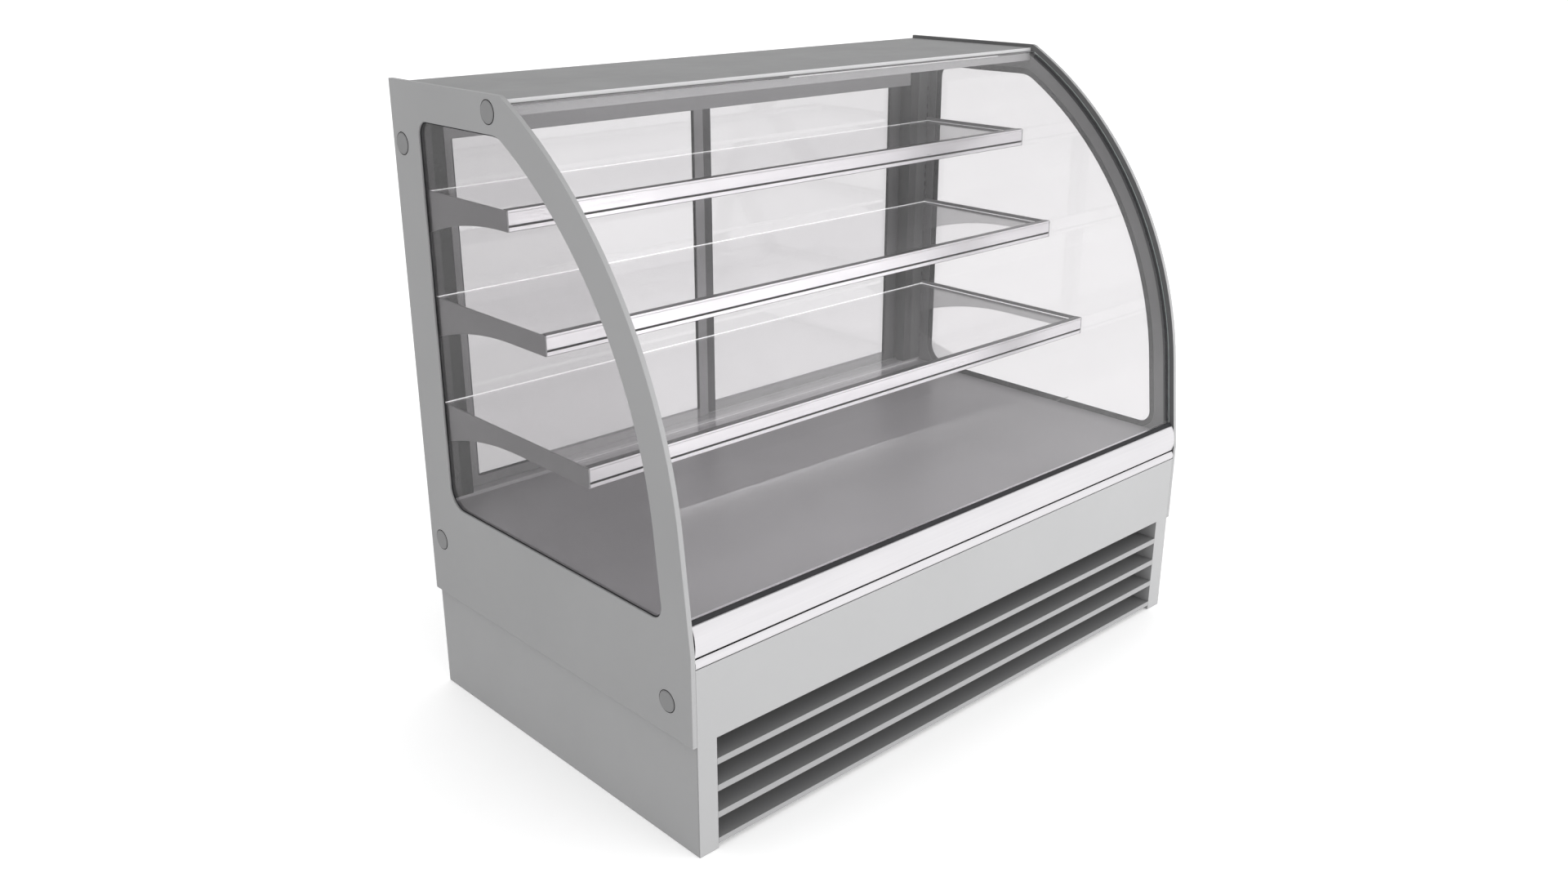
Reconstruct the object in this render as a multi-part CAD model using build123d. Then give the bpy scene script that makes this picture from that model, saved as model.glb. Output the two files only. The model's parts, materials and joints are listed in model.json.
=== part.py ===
"""Curved-glass bakery display case: cold deck, three glass shelves, tilting front glass, sliding rear doors.

Millimetres. +X is the customer's right, -Y is the customer's side, +Z is up.
The origin is on the floor under the middle of the case.
"""
from build123d import *
import math
import os

# ---------------------------------------------------------------- overall size
WIDTH = 1484.0                     # over the two end panels
DEPTH = 866.0
HEIGHT = 1300.0
FRONT = -DEPTH / 2
REAR = DEPTH / 2

# ---------------------------------------------------------------- end panels
PANEL = 10.0                       # end panel thickness
INNER = WIDTH / 2 - PANEL          # inner face of an end panel, from the middle
PANEL_BOTTOM = 231.0
ARC_Y = 471.0                      # centre of the curved front
ARC_Z = 521.0
ARC_R = 886.0                      # radius of the end panel's front edge
LEAN = 6.42                        # degrees the straight stretch under the curve leans back
BAND = 69.0                        # width of the end panel in front of its window
WINDOW_REAR = 337.0
WINDOW_TOP = 1230.0
WINDOW_BOTTOM = 450.0
WINDOW_RADIUS = 28.0
WINDOW_REAR_RADIUS = 44.0          # the lower rear corner
WINDOW_TOP_RADIUS = 70.0           # where the top edge meets the curve
REBATE = 12.0                      # side glass overlap behind the window's edge
SIDE_GLASS = 5.0
GASKET = 1.0
CAP_RADIUS = 20.5
CAP_GAP = 1.6                      # dark ring around each cap
CAP_PROUD = 1.5
CAP_PLACES = [(89.0, 1269.0), (400.0, 1181.0), (390.0, 357.0), (-364.0, 298.0)]
BOLT_RADIUS = 4.0
EDGE_ROUND = 1.2

# ---------------------------------------------------------------- base
SHEET = 2.0
BASE_TOP = 380.0
POST = 687.5                       # inner edge of the corner posts, from the middle
FASCIA_TOP = 383.0
GRILLE_TOP = 232.5
SLOT = 43.0                        # height of one air slot
BAR = 13.0                         # height of one slat's front face
BAR_BOTTOM = 10.5                  # underside of the lowest bar
LOWEST_BAR = 11.0
SLAT_DEPTH = 118.0
SLAT_SHEET = 1.5
PAN_Z = 12.0

# ---------------------------------------------------------------- deck and well
DECK_TOP = 440.0
WELL_FRONT = -386.0
WELL_REAR = 375.5
WELL_SIDE = 700.0
WELL_BOTTOM = 283.0
WELL_WALL = 25.0

# ---------------------------------------------------------------- front glass and its rail
GLASS_INSET = 11.0                 # front glass outer face, inside the end panel's edge
FRONT_GLASS = 6.0
FRONT_GLASS_SIDE = 730.7
GLASS_TOP_Z = 1283.5
SEAL_INSET = 25.0                  # rear of the rubber strip beside the front glass
RAIL_TOP = 463.0
RAIL_BOTTOM = 404.5
PIVOT_Y = -414.0
PIVOT_Z = 424.0
PIVOT_RADIUS = 4.0
BUSH_RADIUS = 7.0
RUNNING = 0.05                     # radial clearance of a running fit

# ---------------------------------------------------------------- top
TOP_Z = 1292.5
TOP_FRONT = 55.0
TOP_REAR = 431.0
FOLD = 8.0                         # height of the top panel's front fold
VALANCE_FRONT = 58.0
VALANCE_REAR = 120.0
VALANCE_BOTTOM = 1260.0

# ---------------------------------------------------------------- rear frame and doors
UPRIGHT_FRONT = 373.0
UPRIGHT_INNER = 665.0
JAMB_FRONT = 399.0
JAMB_INNER = 674.0
SILL_FRONT = 376.0
SILL_BOTTOM = 428.0
SILL_TOP = 448.0
HEADER_BOTTOM = 1183.0
TRACKS = [(400.0, 412.0), (414.0, 426.0)]
TRACK_FLOOR = 434.0
TRACK_ROOF = 1225.0
DOOR_DEPTH = 10.0
DOOR_BOTTOM = 441.0
DOOR_TOP = 1215.0
DOOR_OUTER = 672.0
DOOR_RAIL = 30.0
STILE = 40.0
DOOR_GLASS = 5.0
SLOT_PITCH = 22.0
FIRST_SLOT = 460.0
LADDER_X = 727.5                   # row of bracket slots in each upright

# ---------------------------------------------------------------- shelves: front edge and top of each rail
RAIL_HEIGHT = 40.0
GROOVE_LOW = 32.0                  # groove near the foot of a shelf rail, below the rail's top
GROOVE_HIGH = 28.0
SHELVES = {"upper": (65.0, 1100.0), "middle": (-33.0, 891.0), "lower": (-146.0, 671.0)}
ARM_INNER = 726.0
ARM_OUTER = 729.0
ARM_TIP = 40.0                     # underside of an arm's tip, below the rail's top
ARM_ROOT = 94.0                    # underside of an arm at the upright, below the rail's top
ARM_SWEEP = 285.0                  # depth of the arm's curved underside
ARM_DROP = 1.5                     # arm's top below the rail's top
SHELF_GLASS = 8.0
SHELF_GLASS_DROP = 9.0             # top of the glass below the top of the rail
SHELF_GLASS_REAR = 371.0

# ---------------------------------------------------------------- machine compartment
FAN_X = -60.0
FAN_Z = 130.0
FAN_RADIUS = 98.0
COIL_X = (-260.0, 140.0)
COIL_Y = (-300.0, -252.0)
COIL_Z = (22.0, 238.0)
COMPRESSOR = (420.0, 10.0)
COMPRESSOR_RADIUS = 75.0

# ---------------------------------------------------------------- control panel at the rear
SERVICE_Y = 411.0                  # outer face of the rear service panel
CONTROL_X = (430.0, 650.0)
CONTROL_Z = (305.0, 395.0)
CONTROL_FACE = 414.0
SWITCH_X = {"power_switch": 480.0, "light_switch": 522.0}
SWITCH_Y = 409.0
ROCK = 9.0                         # degrees a rocker leans from its middle
KNOB_X = 590.0
KNOB_Z = 350.0


# ================================================================ helpers
def block(x_range, y_range, z_range):
    """A box between two limits along each axis."""
    size = [high - low for low, high in (x_range, y_range, z_range)]
    low_corner = (x_range[0], y_range[0], z_range[0])
    return Pos(*low_corner) * Box(*size, align=(Align.MIN, Align.MIN, Align.MIN))


def span(half, y_range, z_range):
    """A box that runs the same distance to both sides of the middle."""
    return block((-half, half), y_range, z_range)


def along_x(sketch, x_range):
    """Extrude a sketch drawn in (y, z) between two x positions."""
    return Pos(x_range[0], 0, 0) * extrude(Plane.YZ * sketch, x_range[1] - x_range[0])


def polygon(points):
    """A face through a list of (y, z) points."""
    return make_face(Polyline(*points, close=True))


def rod_x(radius, x_range, y, z):
    """A round rod along X."""
    return along_x(Pos(y, z) * Circle(radius), x_range)


def rod_y(radius, y_range, x, z):
    """A round rod along Y."""
    length = y_range[1] - y_range[0]
    middle = (y_range[0] + y_range[1]) / 2
    return Pos(x, middle, z) * Rot(90, 0, 0) * Cylinder(radius, length)


def rod_z(radius, z_range, x, y):
    """A round rod along Z."""
    length = z_range[1] - z_range[0]
    return Pos(x, y, z_range[0]) * Cylinder(radius, length, align=(Align.CENTER, Align.CENTER, Align.MIN))


def flip(shape):
    """The same piece for the other side of the case."""
    return mirror(shape, about=Plane.YZ)


def group(pieces):
    """Several separate solids kept in one node."""
    solids = []
    for piece in pieces:
        solids.extend(piece.solids())
    return Compound(solids)


def tube(points, bend, radius):
    """A round tube along straight runs joined by arcs of one bend radius."""
    path = FilletPolyline(*points, radius=bend)
    start = Plane(path @ 0, z_dir=path % 0)
    return sweep(start * Circle(radius), path=path)


# ================================================================ the curved front
def curve_point(inset, angle):
    """A point on the curve that lies inset inside the end panel's edge; angle from the horizontal."""
    radius = ARC_R - inset
    turn = math.radians(angle)
    return (ARC_Y - radius * math.cos(turn), ARC_Z + radius * math.sin(turn))


def straight_point(inset, z):
    """A point at height z on the leaning straight stretch under the curve."""
    y, top = curve_point(inset, LEAN)
    return (y - (top - z) * math.tan(math.radians(LEAN)), z)


def curve_angle(inset, z):
    """The angle at which the curve reaches height z."""
    return math.degrees(math.asin((z - ARC_Z) / (ARC_R - inset)))


def curve_arc(inset, low_angle, high_angle):
    """The curve between two angles."""
    middle = (low_angle + high_angle) / 2
    points = [curve_point(inset, angle) for angle in (low_angle, middle, high_angle)]
    return ThreePointArc(*points)


def curve_band(outer_inset, inner_inset, z_low, high_angle):
    """A strip between two parallel curves, cut square at both ends."""
    drop = (curve_point(outer_inset, LEAN)[1] - z_low) / math.cos(math.radians(LEAN))
    lean = math.radians(LEAN)
    ends = []
    for inset in (outer_inset, inner_inset):
        y, z = curve_point(inset, LEAN)
        ends.append((y - drop * math.sin(lean), z - drop * math.cos(lean)))
    lines = Line(ends[0], curve_point(outer_inset, LEAN))
    lines += curve_arc(outer_inset, LEAN, high_angle)
    lines += Line(curve_point(outer_inset, high_angle), curve_point(inner_inset, high_angle))
    lines += curve_arc(inner_inset, LEAN, high_angle)
    lines += Line(curve_point(inner_inset, LEAN), ends[1])
    lines += Line(ends[1], ends[0])
    return make_face(lines)


def panel_outline():
    """The end panel's outline: square at the rear and below, curved in front."""
    top_angle = curve_angle(0, HEIGHT)
    bend_z = curve_point(0, LEAN)[1] - (curve_point(0, LEAN)[0] - FRONT) / math.tan(math.radians(LEAN))
    lines = Line((REAR, PANEL_BOTTOM), (REAR, HEIGHT))
    lines += Line((REAR, HEIGHT), curve_point(0, top_angle))
    lines += curve_arc(0, LEAN, top_angle)
    lines += Line(curve_point(0, LEAN), (FRONT, bend_z))
    lines += Line((FRONT, bend_z), (FRONT, PANEL_BOTTOM))
    lines += Line((FRONT, PANEL_BOTTOM), (REAR, PANEL_BOTTOM))
    outline = make_face(lines)
    peak = curve_point(0, top_angle)
    corner = [v for v in outline.vertices() if abs(v.X - peak[0]) < 1 and abs(v.Y - peak[1]) < 1]
    return fillet(corner, 25)


def window_outline(grow):
    """The window in an end panel, larger all round by grow."""
    inset = BAND - grow
    top = WINDOW_TOP + grow
    bottom = WINDOW_BOTTOM - grow
    rear = WINDOW_REAR + grow
    top_angle = curve_angle(inset, top)
    low = straight_point(inset, bottom)
    lines = Line((rear, bottom), (rear, top))
    lines += Line((rear, top), curve_point(inset, top_angle))
    lines += curve_arc(inset, LEAN, top_angle)
    lines += Line(curve_point(inset, LEAN), low)
    lines += Line(low, (rear, bottom))
    outline = make_face(lines)
    peak = curve_point(inset, top_angle)
    rounds = [((rear, top), WINDOW_RADIUS), ((rear, bottom), WINDOW_REAR_RADIUS),
              (low, WINDOW_RADIUS), (peak, WINDOW_TOP_RADIUS)]
    for place, radius in rounds:
        corner = outline.vertices().sort_by_distance(place)[0]
        outline = fillet(corner, radius + grow)
    return outline


# ================================================================ end panels and side glass
def right_end_panel():
    """Thick painted plate with a rebated window, a blind pivot hole and four counterbored bolt holes."""
    outer = WIDTH / 2
    panel = along_x(panel_outline(), (INNER, outer))
    window = along_x(window_outline(0), (INNER - 1, outer + 1))
    panel -= window
    rims = panel.faces().sort_by(Axis.X)[-1].edges()
    panel = fillet(rims, EDGE_ROUND)
    panel -= along_x(window_outline(REBATE), (INNER - 1, INNER + SIDE_GLASS + GASKET))
    for y, z in CAP_PLACES:
        panel -= rod_x(CAP_RADIUS + CAP_GAP, (outer - 5, outer + 1), y, z)
        panel -= rod_x(BOLT_RADIUS + 0.2, (INNER - 1, outer), y, z)
    panel -= rod_x(BUSH_RADIUS, (INNER - 1, INNER + 7), PIVOT_Y, PIVOT_Z)
    return panel


def right_side_glass():
    """Flat toughened glass, set flush in the end panel's rebate."""
    return along_x(window_outline(REBATE - 0.5), (INNER, INNER + SIDE_GLASS))


def right_window_gasket():
    """Thin black gasket between the side glass and the window's lip."""
    x_range = (INNER + SIDE_GLASS, INNER + SIDE_GLASS + GASKET)
    ring = along_x(window_outline(REBATE - 0.5), x_range)
    return ring - along_x(window_outline(-2.5), x_range)


def right_caps():
    """Round covers that clip over the end panel's bolts."""
    outer = WIDTH / 2
    caps = []
    for y, z in CAP_PLACES:
        cap = rod_x(CAP_RADIUS, (outer - 2, outer + CAP_PROUD), y, z)
        cap = chamfer(cap.faces().sort_by(Axis.X)[-1].edges(), 1.2)
        caps.append(cap)
    return caps


def right_bolts():
    """Bolts through the end panel, heads under the caps."""
    outer = WIDTH / 2
    bolts = []
    for y, z in CAP_PLACES:
        head = rod_x(7, (outer - 5, outer - 2.2), y, z)
        socket = along_x(Pos(y, z) * RegularPolygon(3, 6), (outer - 4, outer))
        bolts.append(head + rod_x(BOLT_RADIUS, (716, outer - 5), y, z) - socket)
    return bolts


# ================================================================ base
def right_base_side():
    """Folded side of the base: side sheet with a flange at the front and at the rear."""
    side = block((INNER - SHEET, INNER), (FRONT + SHEET, TOP_REAR), (0, BASE_TOP))
    side += block((POST + 3, INNER), (FRONT + SHEET, FRONT + 2 * SHEET), (0, BASE_TOP))
    side += block((WELL_SIDE, INNER), (TOP_REAR - SHEET, TOP_REAR), (0, BASE_TOP))
    for y, z in CAP_PLACES[2:]:
        side -= rod_x(BOLT_RADIUS + 0.2, (INNER - 5, INNER + 1), y, z)
    return side


def base_pan():
    """Sheet tray that carries the machinery, turned up along both ends."""
    pan = span(INNER - SHEET, (-312, 408), (PAN_Z, PAN_Z + SHEET))
    for sign in (-1, 1):
        edge = sorted((sign * (INNER - SHEET), sign * (INNER - 2 * SHEET)))
        pan += block(edge, (-312, 408), (PAN_Z, PAN_Z + 24))
    return pan


def front_fascia():
    """One front sheet: the plain fascia, the two corner posts and the returns of the air recess."""
    back = FRONT + SHEET
    side = INNER - 0.3
    fascia = span(side, (FRONT, back), (0, FASCIA_TOP))
    fascia -= span(POST, (FRONT - 1, back + 1), (-1, GRILLE_TOP))
    fascia += span(POST + SHEET, (FRONT, FRONT + SLAT_DEPTH), (GRILLE_TOP, GRILLE_TOP + SHEET))
    for sign in (-1, 1):
        cheek = sorted((sign * POST, sign * (POST + SHEET)))
        fascia += block(cheek, (FRONT, FRONT + SLAT_DEPTH), (0, GRILLE_TOP))
    return fascia


def grille_slats():
    """Channel-shaped slats across the air recess; the lowest one closes its bottom."""
    half = POST - 0.3
    lows = [(BAR_BOTTOM, LOWEST_BAR)]
    for index in range(3):
        lows.append((BAR_BOTTOM + LOWEST_BAR + SLOT + index * (SLOT + BAR), BAR))
    slats = []
    for low, height in lows:
        slat = span(half, (FRONT, FRONT + SHEET), (low, low + height))
        slat += span(half, (FRONT, FRONT + SLAT_DEPTH), (low + height - SLAT_SHEET, low + height))
        slat += span(half, (FRONT, FRONT + SLAT_DEPTH), (low, low + SLAT_SHEET))
        slats.append(slat)
    return group(slats)


def rear_service_panel():
    """Removable rear panel: a shallow tray with air slots, a control cut-out and a gland hole."""
    side = INNER - SHEET - 0.3
    low, high = 12, SILL_BOTTOM - 2
    panel = span(side, (SERVICE_Y - SHEET, TOP_REAR - SHEET), (low, high))
    panel -= span(side - SHEET, (SERVICE_Y, TOP_REAR), (low + SHEET, high - SHEET))
    for x in (-420, -60, 300):
        for row in range(9):
            z = 70 + 20 * row
            slot = Pos(x, z) * SlotOverall(180, 7)
            panel -= Pos(0, SERVICE_Y + 5, 0) * extrude(Plane.XZ * slot, 20)
    panel -= block((CONTROL_X[0] + 10, CONTROL_X[1] - 10), (SERVICE_Y - 5, SERVICE_Y + 1),
                   (CONTROL_Z[0] + 7, CONTROL_Z[1] - 7))
    panel -= rod_y(10.2, (SERVICE_Y - 5, SERVICE_Y + 1), -600, 60)
    return panel


def front_sill():
    """Fixed bead under the tilting rail, with a web back to the well."""
    bead_top = 401.7
    bead_rear = -427.5
    lines = Line((-388, FASCIA_TOP + 0.5), (-432, FASCIA_TOP + 0.5))
    lines += ThreePointArc((-432, FASCIA_TOP + 0.5), (-432.9, 393), (-429.8, bead_top))
    lines += Line((-429.8, bead_top), (bead_rear, bead_top))
    lines += Line((bead_rear, bead_top), (bead_rear, FASCIA_TOP + 3.5))
    lines += Line((bead_rear, FASCIA_TOP + 3.5), (-388, FASCIA_TOP + 3.5))
    lines += Line((-388, FASCIA_TOP + 3.5), (-388, FASCIA_TOP + 0.5))
    return along_x(make_face(lines), (-INNER + 0.8, INNER - 0.8))


# ================================================================ deck and well
def deck_plate():
    """Steel display deck, turned down along its front edge."""
    deck = span(INNER - 0.8, (WELL_FRONT, WELL_REAR), (DECK_TOP - SHEET, DECK_TOP))
    lip = span(INNER - 0.8, (WELL_FRONT - SHEET, WELL_FRONT), (DECK_TOP - 20, DECK_TOP))
    return deck + lip


def insulated_well():
    """Foam-filled tub under the deck that holds the evaporator."""
    well = span(WELL_SIDE, (WELL_FRONT, WELL_REAR), (WELL_BOTTOM, DECK_TOP - SHEET))
    hollow = span(WELL_SIDE - WELL_WALL, (WELL_FRONT + WELL_WALL, WELL_REAR - WELL_WALL),
                  (WELL_BOTTOM + WELL_WALL, DECK_TOP))
    well -= hollow
    for x, y in PIPE_HOLES:
        well -= rod_z(9, (WELL_BOTTOM - 1, WELL_BOTTOM + WELL_WALL + 1), x, y)
    return well


# ================================================================ top
def top_panel():
    """Folded top sheet with a short front fold and a deep rear fold."""
    side = INNER - 0.3
    top = span(side, (TOP_FRONT, TOP_REAR + SHEET), (TOP_Z - SHEET, TOP_Z))
    top += span(side, (TOP_FRONT, TOP_FRONT + SHEET), (TOP_Z - FOLD, TOP_Z))
    top += span(side, (TOP_REAR, TOP_REAR + SHEET), (TOP_Z - 40, TOP_Z))
    front_edge = top.edges().filter_by(Axis.X).sort_by(lambda e: e.center().Y - e.center().Z)[0]
    return fillet(front_edge, 1.0)


def top_valance():
    """Channel across the top, open below, that hides the lamp."""
    side = INNER - 0.3
    under = TOP_Z - SHEET
    valance = span(side, (VALANCE_FRONT, VALANCE_REAR), (VALANCE_BOTTOM, under))
    valance -= span(side - 3, (VALANCE_FRONT + SHEET, VALANCE_REAR - SHEET), (VALANCE_BOTTOM - 1, under - SHEET))
    y, z = CAP_PLACES[0]
    return valance - rod_x(BOLT_RADIUS + 0.2, (-side - 1, side + 1), y, z)


def top_glass_seal():
    """Rubber strip on the valance that the top edge of the front glass closes against."""
    section = polygon([(VALANCE_FRONT, 1284.2), (48, 1284.2), (47.5, 1282.8), (VALANCE_FRONT, 1281)])
    return along_x(section, (-INNER + 1, INNER - 1))


def lamp_housing():
    """Aluminium lamp body inside the valance."""
    body = span(WELL_SIDE, (66, 112), (1274, TOP_Z - 2 * SHEET))
    return body - span(WELL_SIDE - 2, (68, 110), (1273, TOP_Z - 2 * SHEET - 3))


def lamp_diffuser():
    """Milky cover that snaps into the lamp body, with a curved underside."""
    lines = Line((68.3, 1278), (109.7, 1278))
    lines += Line((109.7, 1278), (109.7, 1268))
    lines += ThreePointArc((109.7, 1268), (89, 1263), (68.3, 1268))
    lines += Line((68.3, 1268), (68.3, 1278))
    return along_x(make_face(lines), (-WELL_SIDE + 3, WELL_SIDE - 3))


# ================================================================ rear frame
def right_rear_upright():
    """Hollow corner post: a slotted front box for the shelf brackets and a jamb for the door."""
    side = INNER - 0.3
    top = TOP_Z - SHEET
    post = block((UPRIGHT_INNER, side), (UPRIGHT_FRONT, JAMB_FRONT), (SILL_TOP, top))
    post += block((JAMB_INNER, side), (JAMB_FRONT, TOP_REAR), (SILL_TOP, top))
    post -= block((UPRIGHT_INNER + SHEET, side - SHEET), (UPRIGHT_FRONT + SHEET, JAMB_FRONT - SHEET),
                  (SILL_TOP - 1, top + 1))
    post -= block((JAMB_INNER + SHEET, side - SHEET), (JAMB_FRONT + SHEET, TOP_REAR - SHEET),
                  (SILL_TOP - 1, top + 1))
    for index in range(33):
        z = FIRST_SLOT + SLOT_PITCH * index
        post -= block((LADDER_X - 1.8, LADDER_X + 1.8), (UPRIGHT_FRONT - 1, UPRIGHT_FRONT + SHEET + 1), (z, z + 12))
    y, z = CAP_PLACES[1]
    return post - rod_x(BOLT_RADIUS + 0.2, (710, INNER + 1), y, z)


def door_tracks(half, z_range):
    """The two door grooves, as solids to cut away."""
    return [span(half, track, z_range) for track in TRACKS]


def rear_header():
    """Deep hollow box over the doors with two grooves for their top rails."""
    top = TOP_Z - SHEET
    header = span(UPRIGHT_INNER - 0.2, (SILL_FRONT, TOP_REAR), (HEADER_BOTTOM, top))
    header += span(JAMB_INNER - 0.2, (JAMB_FRONT + 0.2, TOP_REAR), (HEADER_BOTTOM, top))
    header -= span(JAMB_INNER - 3, (JAMB_FRONT + 3, TOP_REAR - 3), (TRACK_ROOF + 3, top - 3))
    header -= span(UPRIGHT_INNER - 3, (SILL_FRONT + 2, JAMB_FRONT - 2), (HEADER_BOTTOM + 2, top - 3))
    for groove in door_tracks(JAMB_INNER, (HEADER_BOTTOM - 1, TRACK_ROOF)):
        header -= groove
    return header


def rear_sill():
    """Bottom track of the doors, under the full width of the rear."""
    sill = span(INNER - 0.3, (SILL_FRONT, TOP_REAR), (SILL_BOTTOM, SILL_TOP))
    for groove in door_tracks(JAMB_INNER - 0.2, (TRACK_FLOOR, SILL_TOP + 1)):
        sill -= groove
    return sill


# ================================================================ doors
def door_frame(x_range, track, stiles, rib_x, rib_depth):
    """Four-sided door frame with a glass groove and a raised finger rib on its outer stile."""
    front = track[0] + 1
    back = front + DOOR_DEPTH
    frame = block(x_range, (front, back), (DOOR_BOTTOM, DOOR_TOP))
    opening_x = (x_range[0] + stiles[0], x_range[1] - stiles[1])
    opening_z = (DOOR_BOTTOM + DOOR_RAIL, DOOR_TOP - DOOR_RAIL)
    frame -= block(opening_x, (front - 1, back + 1), opening_z)
    middle = (front + back) / 2
    groove = DOOR_GLASS / 2 + 0.2
    frame -= block((opening_x[0] - 6, opening_x[1] + 6), (middle - groove, middle + groove),
                   (opening_z[0] - 6, opening_z[1] + 6))
    frame += block((rib_x - 4, rib_x + 4), (back, back + rib_depth), (650, 950))
    return frame


def door_glass(x_range, track, stiles):
    """Pane held in the door frame's groove."""
    middle = track[0] + 1 + DOOR_DEPTH / 2
    opening_x = (x_range[0] + stiles[0] - 5, x_range[1] - stiles[1] + 5)
    opening_z = (DOOR_BOTTOM + DOOR_RAIL - 5, DOOR_TOP - DOOR_RAIL + 5)
    return block(opening_x, (middle - DOOR_GLASS / 2, middle + DOOR_GLASS / 2), opening_z)


def door_glides(x_range, track):
    """Two nylon blocks under the door that run in the bottom track."""
    middle = (track[0] + track[1]) / 2
    glides = []
    for x in (x_range[0] + 60, x_range[1] - 60):
        glide = block((x - 25, x + 25), (middle - 4, middle + 4), (TRACK_FLOOR + 0.3, DOOR_BOTTOM))
        glides.append(chamfer(glide.faces().sort_by(Axis.Z)[0].edges(), 1.0))
    return group(glides)


# ================================================================ shelves
def shelf_rail(front, top):
    """Aluminium edge extrusion: front face with two fine grooves, glass stop and ledge."""
    foot = top - RAIL_HEIGHT
    section = polygon([(front, top - 0.6), (front + 0.6, top), (front + 14, top), (front + 14, top - 17.2),
                       (front + 30, top - 17.2), (front + 30, top - 19.2), (front + 12, top - 19.2),
                       (front + 12, top - 2), (front + 3, top - 2), (front + 3, top - GROOVE_HIGH + 2),
                       (front + 8, top - GROOVE_HIGH + 2), (front + 8, top - GROOVE_LOW - 2),
                       (front + 3, top - GROOVE_LOW - 2), (front + 3, foot + 2), (front + 12, foot + 2),
                       (front + 12, foot), (front + 0.6, foot), (front, foot + 0.6),
                       (front, top - GROOVE_LOW), (front + 6, top - GROOVE_LOW),
                       (front + 6, top - GROOVE_HIGH), (front, top - GROOVE_HIGH), (front, top - 5.5),
                       (front + 1.2, top - 5.5), (front + 1.2, top - 4.5), (front, top - 4.5)])
    return along_x(section, (-ARM_INNER, ARM_INNER))


def shelf_glass(front, top):
    """Glass shelf, resting on the rail's ledge and the arms' flanges."""
    glass_top = top - SHELF_GLASS_DROP
    return span(ARM_INNER - 0.5, (front + 14.3, SHELF_GLASS_REAR), (glass_top - SHELF_GLASS, glass_top))


def ladder_slots(arm_top):
    """Heights of the two upright slots that an arm hooks into."""
    steps = math.floor((arm_top - 16 - FIRST_SLOT) / SLOT_PITCH)
    upper = FIRST_SLOT + SLOT_PITCH * steps
    return (upper, upper - SLOT_PITCH)


def right_shelf_arm(front, top):
    """Tapered arm with a curved underside, a flange under the glass and two hooks."""
    arm_top = top - ARM_DROP
    tip_low = top - ARM_TIP
    root_low = top - ARM_ROOT
    start = UPRIGHT_FRONT - ARM_SWEEP
    middle = (start + ARM_SWEEP / 2, tip_low - (tip_low - root_low) / 4)
    lines = Line((front, arm_top), (UPRIGHT_FRONT, arm_top))
    lines += Line((UPRIGHT_FRONT, arm_top), (UPRIGHT_FRONT, root_low))
    lines += ThreePointArc((UPRIGHT_FRONT, root_low), middle, (start, tip_low))
    lines += Line((start, tip_low), (front, tip_low))
    lines += Line((front, tip_low), (front, arm_top))
    arm = along_x(make_face(lines), (ARM_INNER, ARM_OUTER))
    seat = top - SHELF_GLASS_DROP - SHELF_GLASS
    arm += block((ARM_INNER - 12, ARM_INNER), (front + 32, SHELF_GLASS_REAR), (seat - SHEET, seat))
    for z in ladder_slots(arm_top):
        hook = [(UPRIGHT_FRONT, z + 2), (UPRIGHT_FRONT, z + 11.5), (UPRIGHT_FRONT + 7, z + 11.5),
                (UPRIGHT_FRONT + 7, z - 3), (UPRIGHT_FRONT + 2.3, z - 3), (UPRIGHT_FRONT + 2.3, z + 2)]
        arm += along_x(polygon(hook), (ARM_INNER, ARM_OUTER))
    return arm


# ================================================================ tilting front glass
def front_glass():
    """Curved toughened glass with a short straight foot."""
    top_angle = curve_angle(GLASS_INSET, GLASS_TOP_Z)
    section = curve_band(GLASS_INSET, GLASS_INSET + FRONT_GLASS, 443, top_angle)
    return along_x(section, (-FRONT_GLASS_SIDE, FRONT_GLASS_SIDE))


def glass_slot(grow, z_low, z_high):
    """The slot that the foot of the glass stands in, wider than the glass by grow on each side."""
    corners = [straight_point(GLASS_INSET - grow, z_low), straight_point(GLASS_INSET - grow, z_high),
               straight_point(GLASS_INSET + FRONT_GLASS + grow, z_high),
               straight_point(GLASS_INSET + FRONT_GLASS + grow, z_low)]
    return polygon(corners)


def front_glass_rail():
    """Bulging aluminium extrusion that grips the glass and turns on its end pins."""
    lines = ThreePointArc((-430, RAIL_BOTTOM), (-432.7, 428), (-424, RAIL_TOP - 1))
    lines += Line((-424, RAIL_TOP - 1), (-423, RAIL_TOP))
    lines += Line((-423, RAIL_TOP), (-396, RAIL_TOP))
    lines += Line((-396, RAIL_TOP), (-396, RAIL_BOTTOM + 3))
    lines += Line((-396, RAIL_BOTTOM + 3), (-399, RAIL_BOTTOM))
    lines += Line((-399, RAIL_BOTTOM), (-430, RAIL_BOTTOM))
    section = make_face(lines)
    section -= glass_slot(2.0, 440, RAIL_TOP + 5)
    section -= polygon([(-427, 408), (-428.5, 430), (-425.5, 437), (-400, 437), (-400, 408)])
    section += Pos(PIVOT_Y, PIVOT_Z) * Circle(PIVOT_RADIUS + 3)
    section += polygon([(PIVOT_Y - 1.5, 406), (PIVOT_Y + 1.5, 406), (PIVOT_Y + 1.5, 438), (PIVOT_Y - 1.5, 438)])
    section -= Pos(PIVOT_Y, PIVOT_Z) * Circle(PIVOT_RADIUS + 0.02)
    return along_x(section, (-FRONT_GLASS_SIDE, FRONT_GLASS_SIDE))


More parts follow.
